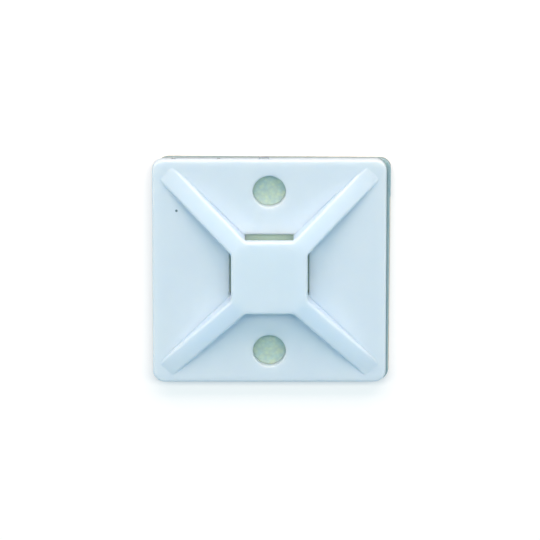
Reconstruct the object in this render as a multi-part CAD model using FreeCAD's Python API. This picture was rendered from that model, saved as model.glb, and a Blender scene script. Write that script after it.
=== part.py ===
import FreeCAD, Part
import math
import os

# A stick-on cable tie mount. The tie passes under a raised platform from any of four sides.
# Millimetres, +Z away from the wall. The origin is at the middle of the underside.

# Adhesive side
liner_thick = 0.1
pad_thick = 0.8
pad_inset = 0.05  # from the base's edge in to the pad's, before the pad is shifted
pad_corner_radius = 1.3
pad_shift_x = 0.52  # the pad was stuck on slightly to the right
pad_twist_deg = -0.35  # and slightly turned

# Base plate, with heights from the plate's own underside
base_side = 28.0
base_corner_radius = 1.4
base_thick = 1.0
base_edge_round = 0.22

# Raised platform and the tie passage under it
platform_side = 9.16
platform_thick = 1.0
passage_width = 5.82
passage_height = 1.4  # clear height over the crest of a ramp, for the thickness of a tie
slot_gap = 0.2  # seen from above, between the platform and the end of a ramp
mouth_round = 0.3  # under the edges of the platform, where the tie goes in

# Ramps that lead the tie up to the passage
ramp_rise = 0.25
ramp_run = 3.0

# Ribs that fall at one slope from within the platform's corners to the corners of the base
rib_width = 2.42
rib_corner_gap = 1.7  # from where a rib runs out to the rounded corner of the base
rib_root_radius = 0.7
rib_fall_reach = 5.0  # from the middle of the platform to where the fall starts
rib_fall_round = 6.0  # turns the level top into the fall
rib_sink = 0.1  # how deep the low end of a rib lies in the plate
crown_round = 0.3

# Screw holes
hole_diameter = 3.98
hole_to_edge = 3.96  # from the middle of a hole to the edge of the base

# What is left of the moulding gate on the edge
gate_width = 1.2
gate_proud = 0.17
gate_height = 0.5
gate_offset = -0.6

# Sizes that follow from those above
base_bottom = liner_thick + pad_thick
base_top = base_bottom + base_thick
pad_side = base_side - 2 * pad_inset
hole_offset = base_side / 2 - hole_to_edge
crest_top = base_top + ramp_rise
platform_underside = crest_top + passage_height
platform_top = platform_underside + platform_thick
ramp_end = platform_side / 2 + slot_gap
ramp_foot = ramp_end + ramp_run
ramp_curve_radius = (ramp_run**2 + ramp_rise**2) / (2 * ramp_rise)
ramp_crest_angle = math.asin(ramp_run / ramp_curve_radius)
base_corner_reach = math.hypot(base_side / 2, base_side / 2) - (math.sqrt(2) - 1) * base_corner_radius
rib_run_out = base_corner_reach - rib_corner_gap
rib_slope = (platform_top - base_top) / (rib_run_out - rib_fall_reach)
rib_end = rib_run_out + rib_sink / rib_slope
spare = base_thick


def point(x, y, z=0.0):
    return FreeCAD.Vector(x, y, z)


def turned(shape, degrees):
    copy = shape.copy()
    copy.rotate(point(0, 0), point(0, 0, 1), degrees)
    return copy


def rounded_square(side, radius, bottom, height):
    block = Part.makeBox(side, side, height, point(-side / 2, -side / 2, bottom))
    uprights = [e for e in block.Edges if abs(e.BoundBox.ZLength - height) < 1e-6]
    return block.makeFillet(radius, uprights)


def base_plate():
    plate = rounded_square(base_side, base_corner_radius, base_bottom, base_thick)
    rim = [e for e in plate.Edges if e.BoundBox.ZMin > base_top - 1e-6]
    return plate.makeFillet(base_edge_round, rim)


def ramp():
    # The side view curves up from the plate, then runs level into the platform. The plan is a wedge
    # that ends on the diagonals. The tie passage is cut through it later.
    half_angle = ramp_crest_angle / 2
    foot = point(0, ramp_foot, base_top)
    crest = point(0, ramp_end, crest_top)
    middle = point(
        0,
        ramp_foot - ramp_curve_radius * math.sin(half_angle),
        base_top + ramp_curve_radius * (1 - math.cos(half_angle)),
    )
    inner = point(0, 0, crest_top)
    floor_foot = point(0, ramp_foot, base_bottom)
    floor_inner = point(0, 0, base_bottom)
    outline = Part.Wire(
        [
            Part.Arc(foot, middle, crest).toShape(),
            Part.LineSegment(crest, inner).toShape(),
            Part.LineSegment(inner, floor_inner).toShape(),
            Part.LineSegment(floor_inner, floor_foot).toShape(),
            Part.LineSegment(floor_foot, foot).toShape(),
        ]
    )
    side_view = Part.Face(outline)
    side_view.translate(point(-ramp_foot, 0))
    band = side_view.extrude(point(2 * ramp_foot, 0))
    plan = Part.makePolygon(
        [
            point(0, 0, base_bottom),
            point(ramp_foot, ramp_foot, base_bottom),
            point(-ramp_foot, ramp_foot, base_bottom),
            point(0, 0, base_bottom),
        ]
    )
    wedge = Part.Face(plan).extrude(point(0, 0, crest_top - base_bottom))
    return band.common(wedge)


def above_rib():
    # The space over the fall of the rib along +X. It is wide enough for the platform's corner too.
    past_end = rib_end + spare
    start = point(rib_fall_reach, -platform_side / 2, platform_top)
    over_end = point(past_end, -platform_side / 2, platform_top)
    at_end = over_end - point(0, 0, rib_slope * (past_end - rib_fall_reach))
    side_view = Part.makePolygon([start, over_end, at_end, start])
    return Part.Face(side_view).extrude(point(0, platform_side))


def is_upright(edge):
    return edge.BoundBox.XLength + edge.BoundBox.YLength < 1e-6


def is_root(edge):
    # An upright edge where the side of a rib leaves the side of the platform.
    corner = edge.BoundBox.Center
    on_side = abs(max(abs(corner.x), abs(corner.y)) - platform_side / 2) < 1e-6
    return is_upright(edge) and on_side


def raised_frame():
    # The platform with its four ribs. The plan is drawn up straight, then the falls are cut.
    height = platform_top - base_bottom
    half = platform_side / 2
    frame = Part.makeBox(platform_side, platform_side, height, point(-half, -half, base_bottom))
    rib = Part.makeBox(rib_end, rib_width, height, point(0, -rib_width / 2, base_bottom))
    for quarter in range(4):
        frame = frame.fuse(turned(rib, 45 + 90 * quarter))
    frame = frame.removeSplitter()
    frame = frame.makeFillet(rib_root_radius, [e for e in frame.Edges if is_root(e)])
    for quarter in range(4):
        frame = frame.cut(turned(above_rib(), 45 + 90 * quarter))
    frame = frame.makeFillet(rib_fall_round, shared_edges(tops(frame)))
    rim = [e for e in outer_edges(tops(frame)) if not is_rib_end(e)]
    return frame.makeFillet(crown_round, rim)


def is_rib_end(edge):
    # The buried edge across the low end of a rib.
    return edge.BoundBox.ZMax < base_top


def tops(shape):
    # The faces that look more up than sideways.
    return [f for f in shape.Faces if f.normalAt(*middle_of(f)).z > 0.5]


def middle_of(face):
    u0, u1, v0, v1 = face.ParameterRange
    return (u0 + u1) / 2, (v0 + v1) / 2


def outer_edges(faces):
    # The edges that only one of the faces has.
    edges = [e for f in faces for e in f.Edges]
    return [e for e in edges if sum(e.isSame(other) for other in edges) == 1]


def shared_edges(faces):
    # The edges between two of the faces, each once.
    found = []
    for edge in [e for f in faces for e in f.Edges]:
        on_outline = any(edge.isSame(other) for other in outer_edges(faces) + found)
        if not on_outline:
            found.append(edge)
    return found


def passage_mouth():
    # Flares the passage at the +X side of the platform, so that the edge over the tie is rounded.
    lip = platform_side / 2
    across = -passage_width / 2
    inner = point(lip - mouth_round, across, platform_underside)
    upper = point(lip, across, platform_underside + mouth_round)
    bulge = mouth_round * math.sqrt(0.5)
    middle = point(lip - mouth_round + bulge, across, platform_underside + mouth_round - bulge)
    outer_low = point(ramp_end, across, platform_underside)
    outer_high = point(ramp_end, across, platform_underside + mouth_round)
    outline = Part.Wire(
        [
            Part.Arc(inner, middle, upper).toShape(),
            Part.LineSegment(upper, outer_high).toShape(),
            Part.LineSegment(outer_high, outer_low).toShape(),
            Part.LineSegment(outer_low, inner).toShape(),
        ]
    )
    return Part.Face(outline).extrude(point(0, passage_width))


def tie_passage():
    # Two crossing channels, open below to the pad and wide enough to leave a slot beside the platform.
    height = platform_underside - base_bottom + spare
    channel = Part.makeBox(
        2 * ramp_end, passage_width, height, point(-ramp_end, -passage_width / 2, base_bottom - spare)
    )
    passage = channel.fuse(turned(channel, 90))
    for quarter in range(4):
        passage = passage.fuse(turned(passage_mouth(), 90 * quarter))
    return passage


def screw_hole(y):
    return Part.makeCylinder(
        hole_diameter / 2, base_thick + 2 * spare, point(0, y, base_bottom - spare)
    )


def gate_mark():
    depth = base_corner_radius
    return Part.makeBox(
        gate_width,
        depth + gate_proud,
        gate_height,
        point(gate_offset - gate_width / 2, base_side / 2 - depth, base_bottom),
    )


def mount_body():
    body = base_plate()
    for quarter in range(4):
        body = body.fuse(turned(ramp(), 90 * quarter))
    body = body.fuse(raised_frame()).fuse(gate_mark())
    body = body.cut(tie_passage())
    for y in (-hole_offset, hole_offset):
        body = body.cut(screw_hole(y))
    return body.removeSplitter()


def adhesive_sheet(bottom, thick):
    sheet = rounded_square(pad_side, pad_corner_radius, bottom, thick)
    sheet = turned(sheet, pad_twist_deg)
    sheet.translate(point(pad_shift_x, 0))
    return sheet


def write(name, shape):
    if not shape.isValid() or len(shape.Solids) != 1:
        raise ValueError(f"{name} is not one valid solid")
    shape.Solids[0].exportStep(f"parts/{name}.step")
    print(name, round(shape.Volume, 2), "cubic mm")


os.makedirs("parts", exist_ok=True)
write("mount_body", mount_body())
write("foam_pad", adhesive_sheet(liner_thick, pad_thick))
write("release_liner", adhesive_sheet(0.0, liner_thick))
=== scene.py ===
import bpy
import math
from mathutils import Matrix, Vector, geometry, noise


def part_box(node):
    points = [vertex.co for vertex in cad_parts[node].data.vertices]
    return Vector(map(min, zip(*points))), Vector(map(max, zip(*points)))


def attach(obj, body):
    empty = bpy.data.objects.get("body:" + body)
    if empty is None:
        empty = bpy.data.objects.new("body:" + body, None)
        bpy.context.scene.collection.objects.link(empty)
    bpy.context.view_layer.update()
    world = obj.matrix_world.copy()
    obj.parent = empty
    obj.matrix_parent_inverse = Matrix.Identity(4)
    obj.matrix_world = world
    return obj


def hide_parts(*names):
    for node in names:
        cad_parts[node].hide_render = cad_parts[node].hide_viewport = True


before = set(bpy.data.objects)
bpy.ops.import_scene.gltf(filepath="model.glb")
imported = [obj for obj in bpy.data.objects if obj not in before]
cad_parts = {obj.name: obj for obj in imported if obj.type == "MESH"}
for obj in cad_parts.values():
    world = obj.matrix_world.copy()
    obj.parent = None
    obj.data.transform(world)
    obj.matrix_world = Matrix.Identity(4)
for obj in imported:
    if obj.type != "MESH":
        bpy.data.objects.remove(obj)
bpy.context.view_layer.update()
mm = 0.001

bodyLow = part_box("mount_body")[0]
padLow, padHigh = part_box("foam_pad")
linerLow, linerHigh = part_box("release_liner")
wallReach = -bodyLow.y  # from the middle to the outer wall of the plate


# colours, nodes and pieces

def toLinear(hexColour):
    # sRGB hex to the linear values that Blender wants
    values = [int(hexColour[i:i + 2], 16) / 255 for i in (1, 3, 5)]
    linear = [v / 12.92 if v <= 0.04045 else ((v + 0.055) / 1.055) ** 2.4 for v in values]
    return (*linear, 1.0)


def addNode(tree, kind, settings={}, links={}):
    # a name or number of a socket fills that socket, any other name is the node's own setting
    node = tree.nodes.new(kind)
    for name, value in settings.items():
        if isinstance(name, int) or name in node.inputs:
            node.inputs[name].default_value = value
        else:
            setattr(node, name, value)
    for name, source in links.items():
        tree.links.new(source, node.inputs[name])
    return node


def newMaterial(name):
    material = bpy.data.materials.new(name)
    material.use_nodes = True
    material.node_tree.nodes.clear()
    return material


def perMetre(sizeMm):
    # a noise scale that gives features of about this size
    return 1 / (sizeMm * mm)


def addPiece(name, pointsMm, faces, material, sharpDeg=40):
    mesh = bpy.data.meshes.new(name)
    mesh.from_pydata([Vector(p) * mm for p in pointsMm], [], faces)
    mesh.materials.append(material)
    mesh.shade_smooth()
    mesh.set_sharp_from_angle(angle=math.radians(sharpDeg))
    piece = bpy.data.objects.new(name, mesh)
    bpy.context.scene.collection.objects.link(piece)
    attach(piece, "root")
    return piece


# moulded nylon: a natural polyamide, shot into a fine spark-eroded mould. The eye gets a pale, slightly
# blue white that light soaks well into, a soft wide gloss, a faint cloudiness and one burnt speck.

nylon = {
    "colour": "#D9EAF8",
    "cloudColour": "#D2E5F6",
    "cloudMm": 5.0,
    "sparkMm": 0.22,  # the real texture is nearer 0.05 mm, which would not show
    "sparkDepthMm": 0.004,
    "waveMm": 2.6,  # sink and flow, long and very shallow
    "waveDepthMm": 0.010,
    "ior": 1.53,
    "roughness": 0.42,
    "roughnessSwing": 0.06,
    "scatterMm": 1.7,
    "scatterReach": (1.0, 0.95, 0.85),  # red goes furthest
    "edgeSoftMm": 0.25,  # how rounded the small edges and corners look
    "plateMm": 1.0,  # the speck lies on top of the plate
    "speckX": -11.1,
    "speckY": 7.67,
    "speckMm": 0.2,  # radius, and it is full up to half of it
    "speckColour": "#5E7A84",
    "pastWallColour": "#64757C",  # darker on all that stands out past the outer wall: the gate mark and the flash
    "pastWallFromMm": 0.02,  # how far out of the wall the darkening starts and is full
    "pastWallFullMm": 0.08,
    "pastWallShare": 0.85,
}


def mouldedNylon():
    material = newMaterial("mouldedNylon")
    tree = material.node_tree
    place = addNode(tree, "ShaderNodeTexCoord").outputs["Object"]
    clouds = addNode(tree, "ShaderNodeTexNoise",
                     {"Scale": perMetre(nylon["cloudMm"]), "Detail": 3.0, "Roughness": 0.5},
                     {"Vector": place})
    spark = addNode(tree, "ShaderNodeTexNoise",
                    {"Scale": perMetre(nylon["sparkMm"]), "Detail": 4.0, "Roughness": 0.6},
                    {"Vector": place})
    wave = addNode(tree, "ShaderNodeTexNoise",
                   {"Scale": perMetre(nylon["waveMm"]), "Detail": 1.0}, {"Vector": place})
    cloudy = addNode(tree, "ShaderNodeMix", {
        "data_type": "RGBA",
        "A": toLinear(nylon["colour"]),
        "B": toLinear(nylon["cloudColour"]),
    }, {"Factor": clouds.outputs["Fac"]})
    speckAt = (nylon["speckX"] * mm, nylon["speckY"] * mm, bodyLow.z + nylon["plateMm"] * mm)
    fromSpeck = addNode(tree, "ShaderNodeVectorMath", {"operation": "DISTANCE", 1: speckAt}, {0: place})
    speck = addNode(tree, "ShaderNodeMapRange",
                    {"From Min": nylon["speckMm"] * mm, "From Max": 0.5 * nylon["speckMm"] * mm},
                    {"Value": fromSpeck.outputs["Value"]})
    specked = addNode(tree, "ShaderNodeMix", {"data_type": "RGBA", "B": toLinear(nylon["speckColour"])},
                      {"Factor": speck.outputs["Result"], "A": cloudy.outputs["Result"]})
    sides = addNode(tree, "ShaderNodeSeparateXYZ", {}, {"Vector": place})
    # darker where the nylon stands out past the outer wall
    proud = addNode(tree, "ShaderNodeMapRange", {
        "From Min": wallReach + nylon["pastWallFromMm"] * mm,
        "From Max": wallReach + nylon["pastWallFullMm"] * mm,
        "To Max": nylon["pastWallShare"],
    }, {"Value": sides.outputs["Y"]})
    colour = addNode(tree, "ShaderNodeMix", {"data_type": "RGBA", "B": toLinear(nylon["pastWallColour"])},
                     {"Factor": proud.outputs["Result"], "A": specked.outputs["Result"]})
    roughness = addNode(tree, "ShaderNodeMapRange", {
        "From Min": 0.3, "From Max": 0.7,  # nearly all of the noise lies between these
        "To Min": nylon["roughness"] - nylon["roughnessSwing"],
        "To Max": nylon["roughness"] + nylon["roughnessSwing"],
    }, {"Value": clouds.outputs["Fac"]})
    softEdges = addNode(tree, "ShaderNodeBevel", {"samples": 6, "Radius": nylon["edgeSoftMm"] * mm})
    waveBump = addNode(tree, "ShaderNodeBump", {"Distance": nylon["waveDepthMm"] * mm, "Strength": 1.0},
                       {"Height": wave.outputs["Fac"], "Normal": softEdges.outputs["Normal"]})
    sparkBump = addNode(tree, "ShaderNodeBump", {"Distance": nylon["sparkDepthMm"] * mm, "Strength": 1.0},
                        {"Height": spark.outputs["Fac"], "Normal": waveBump.outputs["Normal"]})
    shader = addNode(tree, "ShaderNodeBsdfPrincipled", {
        "IOR": nylon["ior"],
        "Subsurface Weight": 1.0,
        "Subsurface Radius": nylon["scatterReach"],
        "Subsurface Scale": nylon["scatterMm"] * mm,
    }, {
        "Base Color": colour.outputs["Result"],
        "Roughness": roughness.outputs["Result"],
        "Normal": sparkBump.outputs["Normal"],
    })
    addNode(tree, "ShaderNodeOutputMaterial", {}, {"Surface": shader.outputs["BSDF"]})
    return material


def dressBody(material):
    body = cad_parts["mount_body"]
    body.data.materials.clear()
    body.data.materials.append(material)


# flash: where the mould's halves didn't quite close, a little nylon has crept out of the joint

flash = {
    "placesX": (-11.43, -6.06),
    "lengthMm": 0.55,
    "proudMm": 0.11,
    "proudMost": 1.3,  # times proudMm, where the lip is raggedest
    "thickMm": 0.16,
    "rootMm": 0.1,  # how deep the fin starts in the wall
    "raggedShare": 0.35,
    "liftMm": 0.03,  # how far the lip wanders up and down
    "aboveFoamMm": 0.42,  # the height of the joint line over the foam
    "stations": 12,
}


def flashNib(index, x, material):
    # a thin fin along the wall, highest in the middle, with a ragged lip
    half = flash["thickMm"] / 2
    height = padHigh.z / mm + flash["aboveFoamMm"]
    wall = wallReach / mm
    root = wall - flash["rootMm"]
    points = []
    for i in range(flash["stations"] + 1):
        along = i / flash["stations"]
        ragged = 1 + flash["raggedShare"] * noise.noise(Vector((x + 9 * along, 0.3, 0.7)))
        proud = flash["proudMm"] * min(math.sin(math.pi * along) ** 0.6 * ragged, flash["proudMost"])
        here = x + (along - 0.5) * flash["lengthMm"]
        lift = flash["liftMm"] * noise.noise(Vector((x + 5 * along, 4.1, 1.9)))
        shoulder = wall + 0.4 * proud
        section = [(root, -half), (shoulder, -0.7 * half), (wall + proud, lift),
                   (shoulder, 0.7 * half), (root, half)]
        points += [(here, y, height + z) for y, z in section]
    ring = len(section)
    faces = []
    for i in range(flash["stations"]):
        for k in range(ring):
            a, b = i * ring + k, i * ring + (k + 1) % ring
            faces.append((a, b, b + ring, a + ring))
    last = flash["stations"] * ring
    faces += [tuple(reversed(range(ring))), tuple(range(last, last + ring))]
    nib = addPiece(f"flash_nib_{index}", points, faces, material)


# the die-cut outline that the foam and its liner share, a little to the right and slightly turned

dieCut = {
    "cornerRadiusMm": 1.3,
    "twistDeg": -0.35,
    "stepMm": 0.22,
    "notchY": 9.2,  # below this the blade ran slightly further in on the right
    "notchMm": 0.10,
    "notchRunMm": 0.25,
}


def cutFrame(low, high):
    # the middle and the half side of the turned square that just fits the box
    twist = math.radians(abs(dieCut["twistDeg"]))
    radius = dieCut["cornerRadiusMm"]
    half = ((high.y - low.y) / 2 / mm - radius) / (math.cos(twist) + math.sin(twist)) + radius
    middle = Vector(((low.x + high.x) / 2, (low.y + high.y) / 2)) / mm
    return middle, half


def cutOutline(half, radius, step):
    # points round a square with round corners, each with the way out
    flat = half - radius
    flatCount = round(2 * flat / step)
    arcCount = round(math.pi / 2 * radius / step)
    points = []
    for quarter in range(4):
        turn = Matrix.Rotation(quarter * math.pi / 2, 2)
        for i in range(flatCount):
            points.append((turn @ Vector((half, flat * (2 * i / flatCount - 1))), turn @ Vector((1, 0))))
        for i in range(arcCount):
            angle = math.pi / 2 * i / arcCount
            out = Vector((math.cos(angle), math.sin(angle)))
            points.append((turn @ (Vector((flat, flat)) + radius * out), turn @ out))
    return points


def insideCut(x, y, half, radius, margin):
    # whether a point is inside the outline by more than the margin
    dx, dy = abs(x) - (half - radius), abs(y) - (half - radius)
    reach = math.hypot(max(dx, 0), max(dy, 0)) + min(max(dx, dy), 0)
    return reach < radius - margin


def addSlab(name, low, high, heights, gridStep, inset, faceLift, material):
    # a flat soft piece: a rough-cut wall with a ring of points at each height, and two wavy faces
    middle, half = cutFrame(low, high)
    radius = dieCut["cornerRadiusMm"]
    turn = Matrix.Rotation(math.radians(dieCut["twistDeg"]), 2)
    outline = cutOutline(half, radius, dieCut["stepMm"])
    count = len(outline)
    points, faces = [], []
    for height in heights:
        for flatPoint, out in outline:
            at = middle + turn @ flatPoint
            at = at - (turn @ out) * inset(at, turn @ out, height)
            points.append((at.x, at.y, height))
    for row in range(len(heights) - 1):
        for i in range(count):
            a, b = row * count + i, row * count + (i + 1) % count
            faces.append((a, b, b + count, a + count))
    cells = int(2 * half / gridStep)
    inner = []
    for i in range(cells + 1):
        for j in range(cells + 1):
            x, y = (i / cells * 2 - 1) * half, (j / cells * 2 - 1) * half
            if insideCut(x, y, half, radius, 0.8 * gridStep):
                inner.append(middle + turn @ Vector((x, y)))
    # each face fills its own ring with triangles over a grid of points
    tolerance = 1e-5
    loop = [(i, (i + 1) % count) for i in range(count)]
    for start, height, up in ((0, heights[0], False), ((len(heights) - 1) * count, heights[-1], True)):
        ring = [Vector(points[start + i][:2]) for i in range(count)]
        made = geometry.delaunay_2d_cdt(ring + inner, loop, [], 1, tolerance)
        numbers = []
        for at, sources in zip(made[0], made[3]):
            if sources and sources[0] < count:
                numbers.append(start + sources[0])
            else:
                numbers.append(len(points))
                points.append((at.x, at.y, height + faceLift(at, up)))
        for face in made[2]:
            corners = [numbers[k] for k in face]
            faces.append(corners if up else corners[::-1])
    return addPiece(name, points, faces, material)


# foam tape: closed-cell polyethylene foam with a film of acrylic adhesive on both faces. The eye gets a
# dull grey-green sponge at the cut edge and a slightly shiny, blotchy film on top.

foam = {
    "colour": "#B6D2CE",
    "warmColour": "#C9DABF",  # where the film is thick
    "wallColour": "#A6BFBF",
    "edgeDustShadeColour": "#91ACB2",  # dust on the open film and cut foam, and painted shade along the pad's edge next to the plate
    "edgeMm": 0.5,
    "edgeFadeMm": 0.2,
    "edgeShare": 0.9,
    "paintedLightColour": "#DCEEDA",  # painted light: lighter foam under the platform, where it shows through the slots
    "paintedLightReachMm": 5.3,
    "paintedLightFadeMm": 0.5,
    "paintedLightShare": 0.8,
    "blotchMm": 0.75,
    "cellMm": 0.42,
    "cellDepthMm": 0.03,
    "ior": 1.48,
    "roughness": 0.5,
    "scatterMm": 0.7,
    "filmGloss": 0.3,
    "filmRoughness": 0.25,
    "rows": 9,
    "gridMm": 0.32,
    "sideDipMm": 0.05,  # the blade squeezes the foam, and its wall springs back hollow
    "sideRoughMm": 0.07,
    "bulgePerMm": 1.1,  # slow and quick unevenness of the cut wall
    "bulgeShare": 0.35,
    "tearPerMm": 3.3,
    "topDipMm": 0.03,
    "wavePerMm": 0.9,  # slow and quick unevenness of the faces
    "waveShare": 0.6,
    "grainPerMm": 2.4,
    "grainShare": 0.4,
    "underShare": 0.2,  # of the dip, on the lower face, which the liner keeps nearly flat
    "clearanceMm": 0.012,
}


def foamTape():
    material = newMaterial("foamTape")
    tree = material.node_tree
    place = addNode(tree, "ShaderNodeTexCoord").outputs["Object"]
    blotches = addNode(tree, "ShaderNodeTexNoise",
                       {"Scale": perMetre(foam["blotchMm"]), "Detail": 2.0, "Roughness": 0.6},
                       {"Vector": place})
    spread = addNode(tree, "ShaderNodeMapRange", {"From Min": 0.32, "From Max": 0.68},
                     {"Value": blotches.outputs["Fac"]})
    film = addNode(tree, "ShaderNodeMix", {
        "data_type": "RGBA",
        "A": toLinear(foam["colour"]),
        "B": toLinear(foam["warmColour"]),
    }, {"Factor": spread.outputs["Result"]})
    cells = addNode(tree, "ShaderNodeTexVoronoi", {"Scale": perMetre(foam["cellMm"])}, {"Vector": place})
    walls = addNode(tree, "ShaderNodeMapRange", {"From Min": 0.2, "From Max": 0.9, "To Max": 0.6},
                    {"Value": cells.outputs["Distance"]})
    celled = addNode(tree, "ShaderNodeMix", {"data_type": "RGBA", "B": toLinear(foam["wallColour"])},
                     {"Factor": walls.outputs["Result"], "A": film.outputs["Result"]})
    # how far a point is from the middle of the pad, measured square like the pad
    middle = (padLow + padHigh) / 2
    fromMiddle = addNode(tree, "ShaderNodeVectorMath", {"operation": "SUBTRACT", 1: middle}, {0: place})
    eitherWay = addNode(tree, "ShaderNodeVectorMath", {"operation": "ABSOLUTE"},
                        {0: fromMiddle.outputs["Vector"]})
    sides = addNode(tree, "ShaderNodeSeparateXYZ", {}, {"Vector": eitherWay.outputs["Vector"]})
    out = addNode(tree, "ShaderNodeMath", {"operation": "MAXIMUM"},
                  {0: sides.outputs["X"], 1: sides.outputs["Y"]})
    # the outer band of the pad is darkened: partly dust, partly painted shade next to the plate's edge
    dustShadeFrom = padHigh.x - middle.x - foam["edgeMm"] * mm
    dustShadeBand = addNode(tree, "ShaderNodeMapRange", {
        "From Min": dustShadeFrom - foam["edgeFadeMm"] * mm,
        "From Max": dustShadeFrom,
        "To Max": foam["edgeShare"],
    }, {"Value": out.outputs["Value"]})
    # painted light: the foam near the middle, under the platform and seen through the slots, is made
    # lighter
    paintedLight = addNode(tree, "ShaderNodeMapRange", {
        "From Min": (foam["paintedLightReachMm"] + foam["paintedLightFadeMm"]) * mm,
        "From Max": foam["paintedLightReachMm"] * mm,
        "To Max": foam["paintedLightShare"],
    }, {"Value": out.outputs["Value"]})
    dustShaded = addNode(tree, "ShaderNodeMix", {"data_type": "RGBA", "B": toLinear(foam["edgeDustShadeColour"])},
                     {"Factor": dustShadeBand.outputs["Result"], "A": celled.outputs["Result"]})
    colour = addNode(tree, "ShaderNodeMix", {"data_type": "RGBA", "B": toLinear(foam["paintedLightColour"])},
                     {"Factor": paintedLight.outputs["Result"], "A": dustShaded.outputs["Result"]})
    bump = addNode(tree, "ShaderNodeBump",
                   {"Distance": foam["cellDepthMm"] * mm, "Strength": 0.7, "invert": True},
                   {"Height": cells.outputs["Distance"]})
    shader = addNode(tree, "ShaderNodeBsdfPrincipled", {
        "IOR": foam["ior"],
        "Roughness": foam["roughness"],
        "Subsurface Weight": 1.0,
        "Subsurface Radius": (1.0, 1.0, 1.0),
        "Subsurface Scale": foam["scatterMm"] * mm,
        "Coat Weight": foam["filmGloss"],
        "Coat Roughness": foam["filmRoughness"],
    }, {"Base Color": colour.outputs["Result"], "Normal": bump.outputs["Normal"]})
    addNode(tree, "ShaderNodeOutputMaterial", {}, {"Surface": shader.outputs["BSDF"]})
    return material


def layFoam(material):
    low, high = padLow.z / mm + foam["clearanceMm"], padHigh.z / mm - foam["clearanceMm"]

    def inset(at, out, height):
        # the wall dips and tears most at half its height
        share = (height - low) / (high - low)
        dip = foam["sideDipMm"] * math.sin(math.pi * share)
        spot = Vector((at.x, at.y, height * 1.6))
        bulge = 0.5 + 0.5 * noise.noise(spot * foam["bulgePerMm"])
        tear = max(0, noise.noise(spot * foam["tearPerMm"] + Vector((3, 7, 1))))
        torn = tear * math.sin(math.pi * share) ** 0.5
        below = min(max((dieCut["notchY"] - at.y) / dieCut["notchRunMm"], 0), 1)
        notch = dieCut["notchMm"] * below * max(out.x, 0)
        return dip + foam["sideRoughMm"] * (foam["bulgeShare"] * bulge + torn) + notch

    def lift(at, up):
        wave = 0.5 + 0.5 * noise.noise(Vector((at.x, at.y, 2.0)) * foam["wavePerMm"])
        grain = 0.5 + 0.5 * noise.noise(Vector((at.x, at.y, 5.0)) * foam["grainPerMm"])
        dip = foam["topDipMm"] * (foam["waveShare"] * wave + foam["grainShare"] * grain)
        return -dip if up else dip * foam["underShare"]

    rows = foam["rows"]
    heights = [low + (high - low) * (0.5 - 0.5 * math.cos(math.pi * i / rows)) for i in range(rows + 1)]
    pad = addSlab("foam_tape_pad", padLow, padHigh, heights, foam["gridMm"], inset, lift, material)
    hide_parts("foam_pad")
    print("foam laid", len(pad.data.polygons), "faces")


# liner paper: bleached kraft with a silicone coat. The eye gets a smooth cream sheet with faint fibres.

liner = {
    "colour": "#E4DFCF",
    "fibreColour": "#D8D0BB",
    "fibreMm": 0.5,
    "fibreStretch": 0.25,  # along Y the pattern is drawn out by one over this
    "fibreDepthMm": 0.01,
    "ior": 1.45,
    "roughness": 0.38,
    "gridMm": 0.9,
    "cockleMm": 0.02,
    "cocklePerMm": 0.35,
    "edgeRoughMm": 0.03,
    "edgePerMm": 1.7,
    "clearanceMm": 0.012,
}


def linerPaper():
    material = newMaterial("linerPaper")
    tree = material.node_tree
    place = addNode(tree, "ShaderNodeTexCoord").outputs["Object"]
    stretched = addNode(tree, "ShaderNodeMapping", {"Scale": (1.0, liner["fibreStretch"], 1.0)},
                        {"Vector": place})
    fibres = addNode(tree, "ShaderNodeTexNoise",
                     {"Scale": perMetre(liner["fibreMm"]), "Detail": 5.0, "Roughness": 0.65},
                     {"Vector": stretched.outputs["Vector"]})
    colour = addNode(tree, "ShaderNodeMix", {
        "data_type": "RGBA",
        "A": toLinear(liner["colour"]),
        "B": toLinear(liner["fibreColour"]),
    }, {"Factor": fibres.outputs["Fac"]})
    bump = addNode(tree, "ShaderNodeBump", {"Distance": liner["fibreDepthMm"] * mm, "Strength": 0.5},
                   {"Height": fibres.outputs["Fac"]})
    shader = addNode(tree, "ShaderNodeBsdfPrincipled",
                     {"IOR": liner["ior"], "Roughness": liner["roughness"]},
                     {"Base Color": colour.outputs["Result"], "Normal": bump.outputs["Normal"]})
    addNode(tree, "ShaderNodeOutputMaterial", {}, {"Surface": shader.outputs["BSDF"]})
    return material


def layLiner(material):
    low, high = linerLow.z / mm + liner["clearanceMm"], linerHigh.z / mm

    def inset(at, out, height):
        rough = 0.5 + 0.5 * noise.noise(Vector((at.x, at.y, 8.0)) * liner["edgePerMm"])
        return liner["edgeRoughMm"] * rough

    def lift(at, up):
        cockle = 0.5 + 0.5 * noise.noise(Vector((at.x, at.y, 0.4)) * liner["cocklePerMm"])
        return -liner["cockleMm"] * cockle if up else -liner["clearanceMm"] * cockle

    heights = [low, high]
    sheet = addSlab("liner_sheet", linerLow, linerHigh, heights, liner["gridMm"], inset, lift, material)
    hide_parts("release_liner")
    print("liner laid", len(sheet.data.polygons), "faces")


# camera: the picture looks down, leaning a little from the side with the gate mark

cameraView = {
    "leanDeg": 18.36,
    "distanceMm": 900.0,
    "pictureWidthMm": 64.77,  # what the square picture takes in at the target
    "sidewaysMm": 0.084,
    "downMm": 0.110,
    "sensorMm": 36.0,
    "clipMm": (10.0, 20000.0),
}


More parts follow.
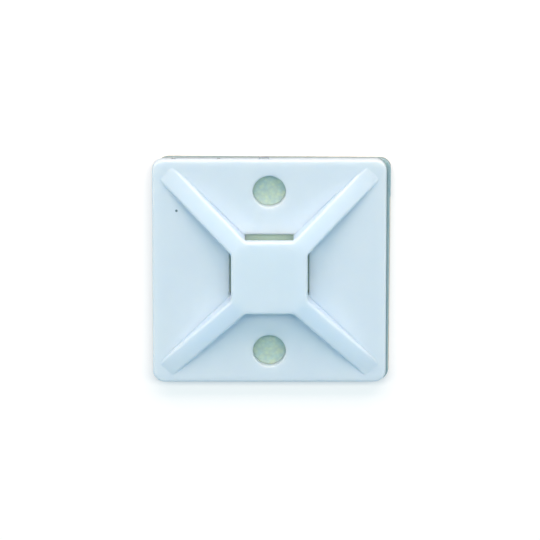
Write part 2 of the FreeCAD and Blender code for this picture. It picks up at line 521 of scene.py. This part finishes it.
def placeCamera():
    lean = math.radians(cameraView["leanDeg"])
    right = Vector((1, 0, 0))
    up = Vector((0, math.cos(lean), -math.sin(lean)))
    back = right.cross(up)
    shift = right * cameraView["sidewaysMm"] - up * cameraView["downMm"]
    target = Vector((0, 0, bodyLow.z)) + shift * mm
    data = bpy.data.cameras.new("camera")
    data.sensor_width = cameraView["sensorMm"]
    data.lens = cameraView["sensorMm"] * cameraView["distanceMm"] / cameraView["pictureWidthMm"]
    data.clip_start, data.clip_end = [v * mm for v in cameraView["clipMm"]]
    camera = bpy.data.objects.new("camera", data)
    bpy.context.scene.collection.objects.link(camera)
    turn = Matrix((right, up, back)).transposed().to_4x4()
    camera.matrix_world = Matrix.Translation(target + back * cameraView["distanceMm"] * mm) @ turn
    bpy.context.scene.camera = camera
    print("camera placed, lens", round(data.lens, 1))


# light: two large soft lamps on the gate mark side, one low and one high, and an even pale blue room.
# The lamps are warm and the room cool, so that flat tops come out neutral and shade comes out cool.

studio = {
    "lowLevel": 0.84,  # 1 turns a white card that faces a small lamp white, and a wide lamp gives less
    "lowElevationDeg": 28.5,
    "lowWidth": 1.1,  # metres, as are the other lamp and floor sizes
    "lowHeight": 0.35,
    "lowColour": "#FFDACC",
    "highLevel": 1.04,
    "highElevationDeg": 67.0,
    "highWidth": 1.7,
    "highHeight": 0.3,
    "highColour": "#FFF2E0",
    "lampDistance": 0.8,
    "roomLevel": 0.46,
    "roomColour": "#8ED3F3",
    "floorReach": 1.5,
    "floorColour": "#E2E2E2",
    "floorSelfLight": 0.30,  # brings the plain floor up to white, and leaves the shadow in
}


def hangLamp(name):
    elevation = math.radians(studio[name + "ElevationDeg"])
    away = Vector((0, math.cos(elevation), math.sin(elevation)))
    distance = studio["lampDistance"]
    lamp = bpy.data.lights.new(name + "Lamp", "AREA")
    lamp.shape = "RECTANGLE"
    lamp.size = studio[name + "Width"]
    lamp.size_y = studio[name + "Height"]
    lamp.color = toLinear(studio[name + "Colour"])[:3]
    # a small lamp of this power gives a white card at the middle a radiance of 1, times the level
    lamp.energy = studio[name + "Level"] * math.pi ** 2 * distance ** 2
    holder = bpy.data.objects.new(name + "Lamp", lamp)
    bpy.context.scene.collection.objects.link(holder)
    holder.location = away * distance
    holder.rotation_euler = (-away).to_track_quat("-Z", "Y").to_euler()


def lightRoom():
    world = bpy.data.worlds.new("room")
    bpy.context.scene.world = world
    world.use_nodes = True
    tree = world.node_tree
    tree.nodes.clear()
    # the camera sees white behind the part, and only the light is blue
    ray = addNode(tree, "ShaderNodeLightPath")
    room = addNode(tree, "ShaderNodeBackground",
                   {"Color": toLinear(studio["roomColour"]), "Strength": studio["roomLevel"]})
    seen = addNode(tree, "ShaderNodeBackground", {"Color": (1, 1, 1, 1), "Strength": 1.0})
    mix = addNode(tree, "ShaderNodeMixShader", {}, {
        "Fac": ray.outputs["Is Camera Ray"],
        1: room.outputs["Background"],
        2: seen.outputs["Background"],
    })
    addNode(tree, "ShaderNodeOutputWorld", {}, {"Surface": mix.outputs["Shader"]})


def layFloor():
    reach = studio["floorReach"]
    mesh = bpy.data.meshes.new("floor")
    corners = [(-reach, -reach, 0), (reach, -reach, 0), (reach, reach, 0), (-reach, reach, 0)]
    mesh.from_pydata(corners, [], [(0, 1, 2, 3)])
    floor = bpy.data.objects.new("floor", mesh)
    bpy.context.scene.collection.objects.link(floor)
    material = newMaterial("paleFloor")
    tree = material.node_tree
    ray = addNode(tree, "ShaderNodeLightPath")
    matt = addNode(tree, "ShaderNodeBsdfDiffuse", {"Color": toLinear(studio["floorColour"])})
    level = addNode(tree, "ShaderNodeMath", {"operation": "MULTIPLY", 1: studio["floorSelfLight"]},
                    {0: ray.outputs["Is Camera Ray"]})
    glow = addNode(tree, "ShaderNodeEmission", {"Color": (1, 1, 1, 1)},
                   {"Strength": level.outputs["Value"]})
    both = addNode(tree, "ShaderNodeAddShader", {},
                   {0: matt.outputs["BSDF"], 1: glow.outputs["Emission"]})
    addNode(tree, "ShaderNodeOutputMaterial", {}, {"Surface": both.outputs["Shader"]})
    mesh.materials.append(material)


placeCamera()
for lampName in ("low", "high"):
    hangLamp(lampName)
lightRoom()
layFloor()
print("studio lit")

nylonMaterial = mouldedNylon()
dressBody(nylonMaterial)
for number, nibX in enumerate(flash["placesX"], 1):
    flashNib(number, nibX, nylonMaterial)
print("moulding dressed")
layFoam(foamTape())
layLiner(linerPaper())

bpy.context.scene.view_settings.view_transform = "Standard"
